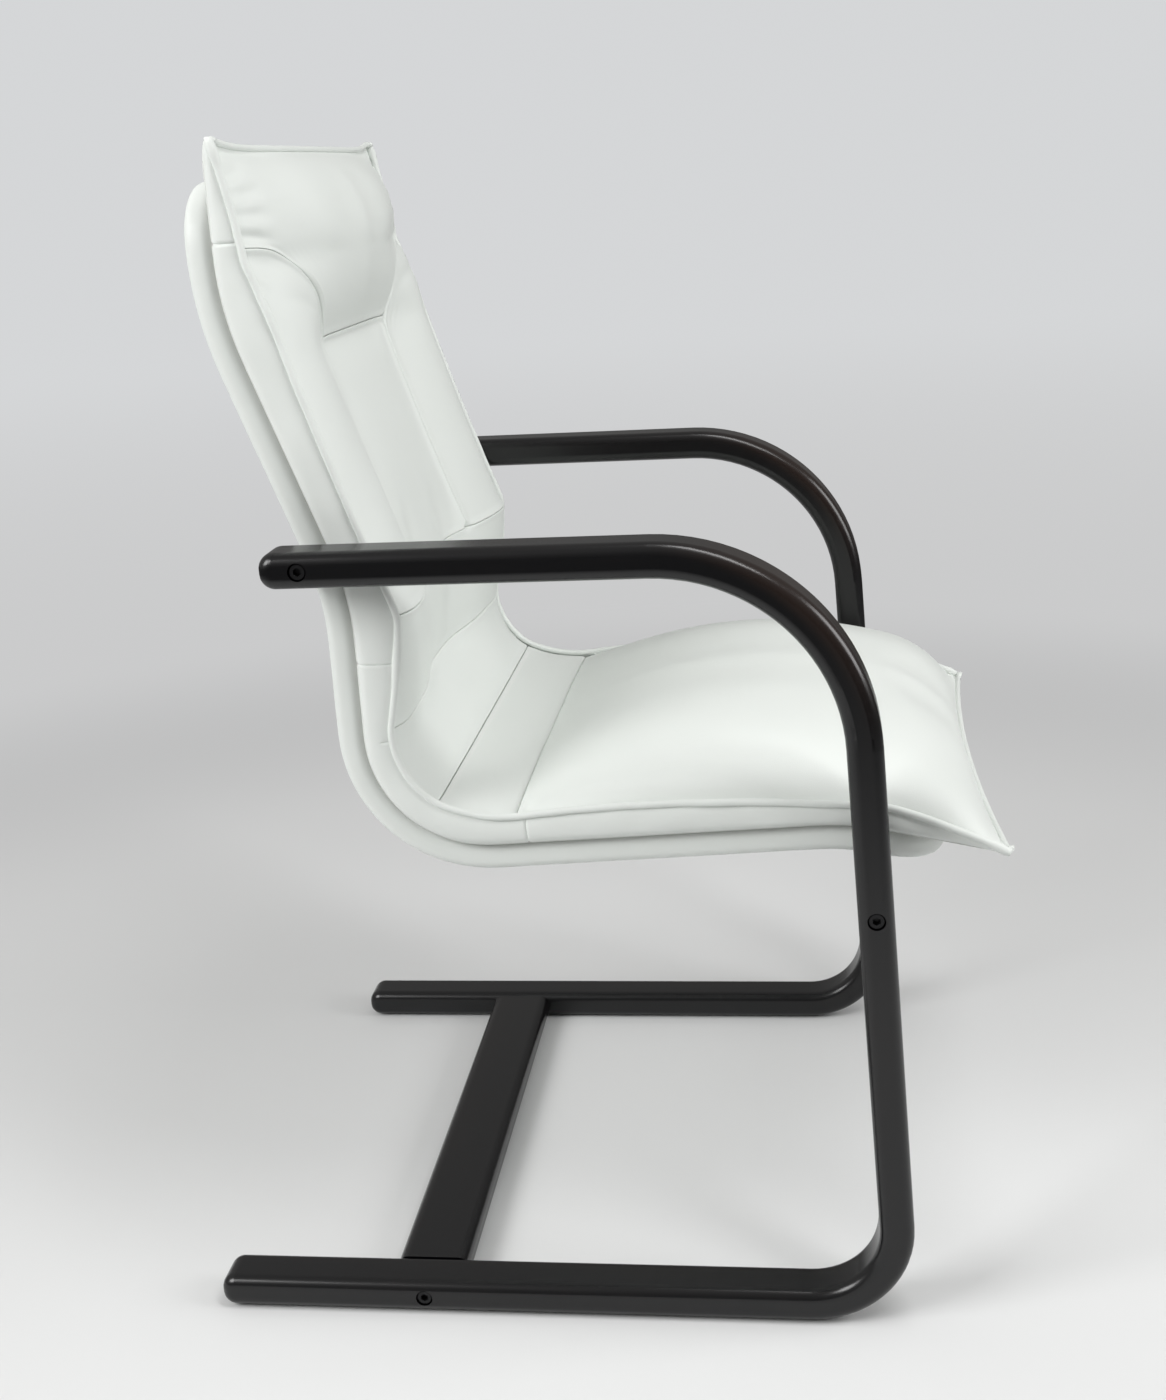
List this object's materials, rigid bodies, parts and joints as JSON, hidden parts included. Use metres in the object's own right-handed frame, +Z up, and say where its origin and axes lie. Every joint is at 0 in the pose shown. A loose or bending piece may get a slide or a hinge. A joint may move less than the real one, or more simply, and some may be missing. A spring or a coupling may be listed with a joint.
{
  "type": "visitor chair",
  "caption": "Cantilever visitor chair: bent-wood side frames with arms, a flat floor bar, and a padded leather seat and high back on a bent shell.",
  "frame": {"origin": "on the floor, at the centre of the chair's bounding box", "axes": "+Z up, -Y towards the front of the seat, +X towards the sitter's left"},
  "size_m": [0.58, 0.668, 0.9642],
  "materials": {
    "black_wood": "satin",
    "black_steel": "satin",
    "zinc_steel": "satin",
    "beech": "matte",
    "black_nylon": "matte",
    "foam": "matte",
    "lining": "matte",
    "white_leather": "satin"
  },
  "bodies": {
    "root": {"right_side_frame": "black_wood", "left_side_frame": "black_wood", "floor_cross_bar": "black_wood", "front_seat_rail": "black_wood", "arm_bolts": "black_steel", "leg_bolts": "black_steel", "runner_bolts": "black_steel", "seat_bolts": "black_steel", "bar_barrel_nuts": "zinc_steel", "rail_barrel_nuts": "zinc_steel", "shell_edge_inserts": "zinc_steel", "tee_nuts": "zinc_steel", "bar_dowels": "beech", "rail_dowels": "beech", "plywood_shell": "beech", "floor_glides": "black_nylon", "arm_spacers": "black_nylon", "cushion_strips": "black_nylon", "shell_padding": "foam", "cushion_base_cloth": "lining", "shell_cover": "white_leather", "head_cushion": "white_leather", "back_cushion": "white_leather", "upper_lumbar_pad": "white_leather", "middle_lumbar_pad": "white_leather", "lower_lumbar_pad": "white_leather", "seat_cushion": "white_leather", "right_boxing": "white_leather", "left_boxing": "white_leather", "right_piping": "white_leather", "left_piping": "white_leather", "head_piping": "white_leather", "seat_front_piping": "white_leather"}
  },
  "joints": []
}
